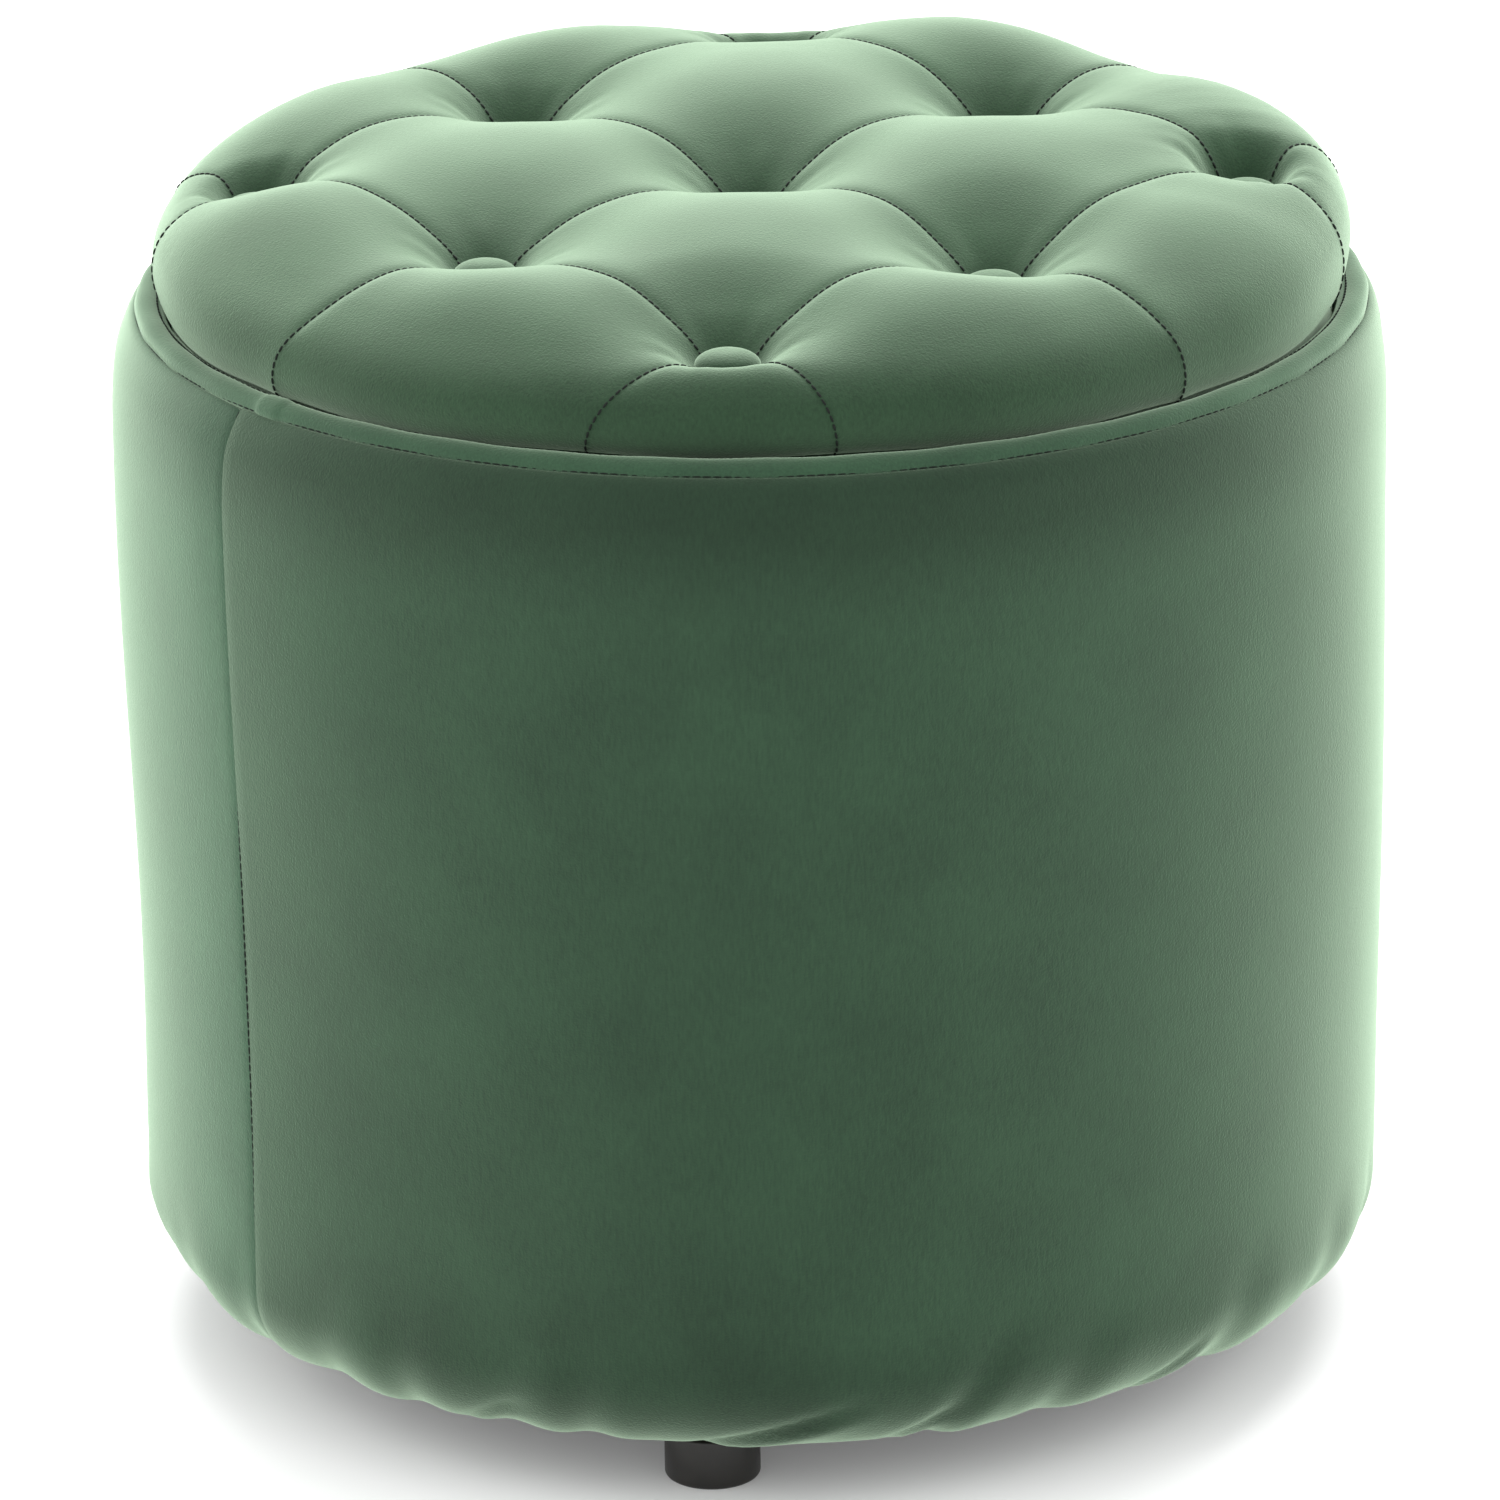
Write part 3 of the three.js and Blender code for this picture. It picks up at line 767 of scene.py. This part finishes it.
# The gathers along the front are uneven; the rest are as even as an upholsterer makes them.
FRONT_FOLDS = [(math.radians(d), math.radians(w), deep, slant) for d, w, deep, slant in (
    (-46, 3.2, 0.0020, 0.4), (-36, 2.4, 0.0014, 0.2), (-26, 2.6, 0.0019, 0.5), (-17.5, 2.0, 0.0012, 0.2),
    (15, 1.8, 0.0020, 0.9), (27, 2.6, 0.0016, 0.5), (47, 2.8, 0.0018, 0.3), (64, 3.0, 0.0020, 0.2))]
FOLDS = FRONT_FOLDS + [f for f in gathers(7, 30) if math.radians(72) < f[0] < math.radians(306)]

# Long folds that run up from the hem at a slant: bearing and height of each end, in degrees and metres, and depth.
SLANTED = ((-7.0, 0.0215, 9.0, 0.0430, 0.0022), (12.0, 0.0235, 17.5, 0.0360, 0.0016),
           (-31.0, 0.0230, -22.0, 0.0380, 0.0012), (38.0, 0.0230, 45.0, 0.0420, 0.0013),
           (118.0, 0.0225, 128.0, 0.0410, 0.0016), (205.0, 0.0225, 216.0, 0.0400, 0.0016))


def cover_ease(bearing, z):
    """How far the drum's cover stands in or out: gathers at the foot, and a soft unevenness on the wall."""
    out = np.zeros_like(z)
    fade = 1 - smoothstep(0.024, 0.075, z)
    for centre, width, deep, slant in FOLDS:
        away = (bearing - centre - slant * (z - 0.020) * 3.0 + math.pi) % (2 * math.pi) - math.pi
        out -= deep * np.exp(-(away / width) ** 2) * fade
        ridge = (away - 1.9 * width) / (width * 1.1)
        out += 0.45 * deep * np.exp(-ridge ** 2) * fade
    for start, low, end, high, deep in SLANTED:
        run, climb = math.radians(end - start) * DRUM_R, high - low
        length = math.hypot(run, climb)
        east = ((bearing - math.radians(start) + math.pi) % (2 * math.pi) - math.pi) * DRUM_R
        north = z - low
        along = (east * run + north * climb) / length ** 2
        across = (north * run - east * climb) / length
        ends = smoothstep(-0.15, 0.2, along) * (1 - smoothstep(0.65, 1.15, along))
        out += deep * ends * (0.55 * np.exp(-((across + 0.0045) / 0.0045) ** 2) - np.exp(-(across / 0.0022) ** 2))
    out += 0.0006 * np.sin(3 * bearing + 0.6 + 9 * z) * smoothstep(0.03, 0.12, z)
    out += 0.0004 * np.sin(7 * bearing + 22 * z)
    # The padding is a little thicker on the left than on the right, towards the rim.
    left, right = np.clip(-np.sin(bearing), 0, 1) ** 2, np.clip(np.sin(bearing), 0, 1) ** 2
    out += (0.0016 * left - 0.0014 * right) * smoothstep(0.15, 0.32, z)
    return out


def drum_cover(name, velvet, replaced, start, end, columns=230):
    """One of the two velvet panels round the drum: stretched over the padding and turned under the board."""
    outline = drum_profile()
    step = np.gradient(outline, axis=0)
    size = np.hypot(step[:, 0], step[:, 1])
    out_r, out_z = step[:, 1] / size, -step[:, 0] / size
    s = np.linspace(0, 1, columns)
    s = s - 0.10 * np.sin(2 * math.pi * s) / (2 * math.pi)
    bearings = start + (end - start) * s
    bearing = bearings[None, :]
    z = outline[:, 1][:, None] * np.ones_like(bearing)
    r = outline[:, 0][:, None] * np.ones_like(bearing)
    ease = cover_ease(bearing + 0 * r, z)
    hem_fade = smoothstep(0.150, 0.175, r)
    top_fade = 1 - smoothstep(0.355, 0.370, z)
    ease = ease * hem_fade * top_fade
    edge = np.minimum(bearings - start, end - bearings) * DRUM_R
    from_start = bearings - start < end - bearings
    turned_in = np.where(from_start, 0.0003, 0.0008) * np.exp(-(edge / np.where(from_start, 0.0010, 0.0022)) ** 1.2)
    dip = np.where(from_start, 0.0, 0.0009) * np.exp(-(edge / 0.013) ** 2)
    deeper = 0.45 + 0.55 * smoothstep(0.20, 0.34, z)
    ease = ease - turned_in[None, :] * (0.3 + 0.7 * hem_fade) - dip[None, :] * deeper * (0.3 + 0.7 * hem_fade)
    pr = r + out_r[:, None] * ease
    pz = z + out_z[:, None] * ease
    points = np.stack([pr * np.sin(bearing), -pr * np.cos(bearing), pz], axis=-1).reshape(-1, 3)
    faces = ring_faces(len(outline), columns, close=False)
    panel = soft_mesh(name, points, faces, velvet)
    outward(panel)
    deselect()
    panel.select_set(True)
    bpy.context.view_layer.objects.active = panel
    thick = panel.modifiers.new("cloth", "SOLIDIFY")
    thick.thickness = 0.0014
    thick.offset = -1.0
    bpy.ops.object.modifier_apply(modifier="cloth")
    bpy.ops.object.shade_smooth_by_angle(angle=math.radians(50))
    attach(panel, DRUM)
    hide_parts(replaced)
    return panel


def wall_padding(foam):
    """Foam glued round the wall and rolled under the board's bevelled edge, a little shy of the cover's seams."""
    roll = [(0.187 + 0.0262 * math.sin(t), 0.053 - 0.0262 * math.cos(t))
            for t in np.linspace(0.42, math.pi / 2, 12)]
    outline = roll + [(0.2145, z) for z in np.linspace(0.08, 0.335, 10)]
    outline += [(0.2140, 0.352), (0.2125, 0.3655), (0.2101, 0.3655), (0.2101, 0.0335), (0.2050, 0.0335),
                (0.2050, 0.0316)]
    columns = 120
    bearings = np.linspace(0, 2 * math.pi, columns, endpoint=False)
    points = [(r * math.sin(b), -r * math.cos(b), z) for r, z in outline for b in bearings]
    faces = ring_faces(len(outline), columns)
    last = (len(outline) - 1) * columns
    faces += [(last + j, last + (j + 1) % columns, (j + 1) % columns, j) for j in range(columns)]
    pad = soft_mesh("wall_padding", points, faces, foam)
    outward(pad)
    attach(pad, DRUM)
    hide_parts("side_padding", "bottom_roll")


# ---------------------------------------------------------------- the rim

def rim_welt(velvet):
    """Cord covered in bias-cut velvet, sewn between the cover and the rim's facing, with one lapped join."""
    columns, sides = 900, 18
    bearings = np.linspace(0, 2 * math.pi, columns, endpoint=False)
    join = SEAM_TURN + math.radians(2.2)
    points = []
    for b in bearings:
        away = ((b - join + math.pi) % (2 * math.pi) - math.pi) * WELT_LINE_R
        lap = 0.00014 * (1 + math.tanh(away / 0.0008)) * (1 - math.tanh((away - 0.011) / 0.0012))
        ribs = 0.00003 * math.sin(b * WELT_LINE_R / STITCH_PITCH * 2 * math.pi) + 0.00012 * math.sin(37 * b + 1.0)
        for k in range(sides):
            a = 2 * math.pi * k / sides
            wide, high = 0.0042 + ribs + lap, 0.0036 + ribs + lap
            r = WELT_R + wide * math.cos(a) - 0.0006 * math.sin(a)
            z = WELT_Z + 0.0004 + high * math.sin(a)
            points.append((r * math.sin(b), -r * math.cos(b), z))
    faces = ring_faces(columns, sides)
    last = (columns - 1) * sides
    for k in range(sides):
        m = (k + 1) % sides
        faces.append((last + k, last + m, m, k))
    welt = soft_mesh("rim_piping", points, faces, velvet)
    outward(welt)
    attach(welt, DRUM)
    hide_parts("rim_welt")
    return welt


def rim_facing(velvet):
    """The strip of velvet inside the rim, from the welt's stitching down to the ledge."""
    outline = [(0.2071, 0.3752), (0.2062, 0.3757), (0.2050, 0.3752), (0.2040, 0.3735), (0.20355, 0.3700),
               (0.20345, 0.3640), (0.2034, 0.3580), (0.2034, LEDGE_TOP + 0.0006)]
    columns = 300
    bearings = np.linspace(0, 2 * math.pi, columns, endpoint=False)
    points = []
    for r, z in outline:
        for b in bearings:
            give = 0.00015 * math.sin(23 * b + 40 * z)
            points.append(((r + give) * math.sin(b), -(r + give) * math.cos(b), z))
    strip = soft_mesh("rim_facing_strip", points, ring_faces(len(outline), columns), velvet)
    outward(strip)
    deselect()
    strip.select_set(True)
    bpy.context.view_layer.objects.active = strip
    thick = strip.modifiers.new("cloth", "SOLIDIFY")
    thick.thickness = 0.0009
    thick.offset = -1.0
    bpy.ops.object.modifier_apply(modifier="cloth")
    bpy.ops.object.shade_smooth_by_angle(angle=math.radians(50))
    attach(strip, DRUM)
    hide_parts("rim_facing")
    return strip


def ring_path(r, z, tilt=0.0, columns=720):
    b = np.linspace(0, 2 * math.pi, columns)
    line = np.stack([r * np.sin(b), -r * np.cos(b), np.full_like(b, z)], axis=-1)
    lean = math.sin(tilt)
    up = np.stack([lean * np.sin(b), -lean * np.cos(b), np.full_like(b, math.cos(tilt))], axis=-1)
    return line, up


def upright_path(bearing, inset):
    outline = drum_profile()[12:-3]
    r = outline[:, 0] - inset
    line = np.stack([r * math.sin(bearing), -r * math.cos(bearing), outline[:, 1]], axis=-1)
    up = np.zeros_like(line)
    up[:, 0], up[:, 1] = math.sin(bearing), -math.cos(bearing)
    return line, up


# ---------------------------------------------------------------- wood, linings and feet

def ledge(ply):
    """The plywood ring inside the rim that carries the lid."""
    deselect()
    bpy.ops.mesh.primitive_cylinder_add(vertices=160, radius=0.20435, depth=0.012,
                                        location=(0, 0, LEDGE_TOP - 0.006))
    ring = bpy.context.active_object
    bpy.ops.object.mode_set(mode="EDIT")
    pick_faces(ring, lambda centre, normal: abs(normal.z) > 0.9)
    bpy.ops.mesh.inset(thickness=0.0202)
    bpy.ops.mesh.bridge_edge_loops()
    bpy.ops.object.mode_set(mode="OBJECT")
    soft = ring.modifiers.new("sanded", "BEVEL")
    soft.width = 0.0006
    soft.segments = 2
    soft.limit_method = "ANGLE"
    bpy.ops.object.modifier_apply(modifier="sanded")
    bpy.ops.object.shade_smooth_by_angle(angle=math.radians(35))
    finish_piece(ring, "lid_ledge", ply, DRUM, ("ledge_ring",))


def foot_places():
    turns = [FOOT_TURN + i * math.pi / 2 for i in range(4)]
    return [(FOOT_CIRCLE * math.sin(turn), -FOOT_CIRCLE * math.cos(turn)) for turn in turns]


def feet(plastic, steel):
    """Moulded feet, hollow underneath, with a cross-head screw up the middle of each."""
    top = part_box("foot_1")[1][2]
    screw_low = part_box("foot_screw_1")[0][2]
    for number, (x, y) in enumerate(foot_places(), 1):
        deselect()
        bpy.ops.mesh.primitive_cylinder_add(vertices=64, radius=0.0165, depth=top, location=(0, 0, top / 2))
        foot = bpy.context.active_object
        bpy.ops.object.mode_set(mode="EDIT")
        pick_faces(foot, lambda centre, normal: normal.z < -0.9)
        bpy.ops.mesh.inset(thickness=0.0095)
        bpy.ops.mesh.extrude_region_move(TRANSFORM_OT_translate={"value": (0, 0, 0.0119)})
        bpy.ops.object.mode_set(mode="OBJECT")
        soft = foot.modifiers.new("moulded", "BEVEL")
        soft.width = 0.0016
        soft.segments = 4
        soft.limit_method = "ANGLE"
        bpy.ops.object.modifier_apply(modifier="moulded")
        bpy.ops.object.shade_smooth_by_angle(angle=math.radians(40))
        foot.location = (x, y, foot.location.z)
        finish_piece(foot, f"moulded_foot_{number}", plastic, DRUM, (f"foot_{number}",))
        deselect()
        bpy.ops.mesh.primitive_cylinder_add(vertices=32, radius=0.0045, depth=0.0030,
                                            location=(x, y, screw_low + 0.0015))
        screw = bpy.context.active_object
        bpy.ops.object.mode_set(mode="EDIT")
        pick_faces(screw, lambda centre, normal: normal.z > 0.9)
        bpy.ops.mesh.inset(thickness=0.0024)
        bpy.ops.mesh.extrude_region_move(TRANSFORM_OT_translate={"value": (0, 0, 0.0200)})
        bpy.ops.mesh.extrude_region_move(TRANSFORM_OT_translate={"value": (0, 0, 0.0040)})
        bpy.ops.transform.resize(value=(0.1, 0.1, 1.0))
        bpy.ops.object.mode_set(mode="OBJECT")
        soft = screw.modifiers.new("rolled", "BEVEL")
        soft.width = 0.0010
        soft.segments = 3
        soft.limit_method = "ANGLE"
        bpy.ops.object.modifier_apply(modifier="rolled")
        for turn in (0, math.pi / 2):
            deselect()
            bpy.ops.mesh.primitive_cube_add(size=1.0, location=(x, y, screw_low + 0.0006),
                                            rotation=(0, 0, turn + 0.5 * number))
            slot_cutter = bpy.context.active_object
            slot_cutter.scale = (0.0046, 0.0010, 0.0024)
            bpy.context.view_layer.update()
            bpy.context.view_layer.objects.active = screw
            cut = screw.modifiers.new("slot", "BOOLEAN")
            cut.operation = "DIFFERENCE"
            cut.object = slot_cutter
            cut.solver = "EXACT"
            deselect()
            screw.select_set(True)
            bpy.ops.object.modifier_apply(modifier="slot")
            bpy.data.objects.remove(slot_cutter, do_unlink=True)
        bpy.ops.object.shade_smooth_by_angle(angle=math.radians(35))
        finish_piece(screw, f"foot_woodscrew_{number}", steel, DRUM, (f"foot_screw_{number}",))


def give_cad_finish(name, finish):
    obj = bpy.data.objects[name]
    if not obj.material_slots:
        obj.data.materials.append(finish)
    for slot in obj.material_slots:
        slot.material = finish


# ---------------------------------------------------------------- assembly

def build():
    # The lid's copy of the velvet has a darker base than the drum's: painted shade for the pad's front faces.
    lid_velvet = cut_pile_velvet("cut_pile_velvet_lid", "#1B2E1F", "#28412C", (1.0, 1.0, 0.4))
    # Painted shade by height for the drum panels: darker at the turn under the drum and just below the welt.
    pressed = ((0.022, 0.60), (0.080, 1.0), (0.325, 1.0), (0.354, 0.66))
    front_velvet = cut_pile_velvet("cut_pile_velvet_front_panel", "#1F3325", "#2A4330", (1.0, 1.0, 0.2), pressed)
    rear_velvet = cut_pile_velvet("cut_pile_velvet_rear_panel", "#243C2D", "#32513C", (1.0, 1.0, 0.2), pressed)
    rim_velvet = cut_pile_velvet("cut_pile_velvet_rim", "#23392A", "#304C37", (1.0, 1.0, 1.0))
    thread = spun_thread("bonded_thread_dark_green", "#0F1C13")
    ply = sanded_birch_ply("sanded_birch_plywood")
    lining = spunbond_lining("black_spunbond_lining", "#141415", "#29292B")
    foam = cut_foam("cream_cut_foam")
    plastic = moulded_black_plastic("satin_moulded_polypropylene")
    steel = zinc_plated_steel("bright_zinc_plated_steel")
    twine = waxed_twine("waxed_tufting_twine")

    lid_pad(lid_velvet)
    paths, ups = seam_lines()
    stitches("lid_seam_stitches", paths, ups, 0.0030, (0.0025, 0.0009, 0.0008), thread, LID, slant=0.08)
    covered_buttons(lid_velvet)
    drum_cover("drum_front_panel", front_velvet, "front_cover_panel", SEAM_TURN, SEAM_TURN + math.pi)
    drum_cover("drum_rear_panel", rear_velvet, "rear_cover_panel", SEAM_TURN + math.pi, SEAM_TURN + 2 * math.pi)
    rim_welt(rim_velvet)
    rim_facing(rim_velvet)
    line, up = ring_path(0.2066, 0.3760)
    stitches("rim_topstitches", [line], [up], STITCH_PITCH, (0.0026, 0.0007, 0.0006), thread, DRUM)
    line, up = ring_path(0.2142, 0.3722, tilt=1.0)
    stitches("welt_seam_stitches", [line], [up], STITCH_PITCH, (0.0030, 0.0006, 0.0006), thread, DRUM)
    sides = [upright_path(SEAM_TURN, 0.0005), upright_path(SEAM_TURN + math.pi, 0.0005)]
    stitches("side_seam_stitches", [s[0] for s in sides], [s[1] for s in sides], 0.0032, (0.0028, 0.0006, 0.0006),
             thread, DRUM)
    ledge(ply)
    feet(plastic, steel)
    for name in ("base_board", "shell_panel", "lid_board"):
        give_cad_finish(name, ply)
    wall_padding(foam)
    for name in ("wall_lining", "floor_panel", "dust_cover", "lid_lining"):
        give_cad_finish(name, lining)
    for number in range(1, 10):
        give_cad_finish(f"button_tie_{number}", twine)


def floor():
    deselect()
    bpy.ops.mesh.primitive_plane_add(size=14.0, location=(0, 2.0, 0))
    ground = bpy.context.active_object
    ground.name = "studio_floor"
    ground.data.materials.append(pale_floor("pale_matt_floor"))


camera()
studio()
floor()
build()
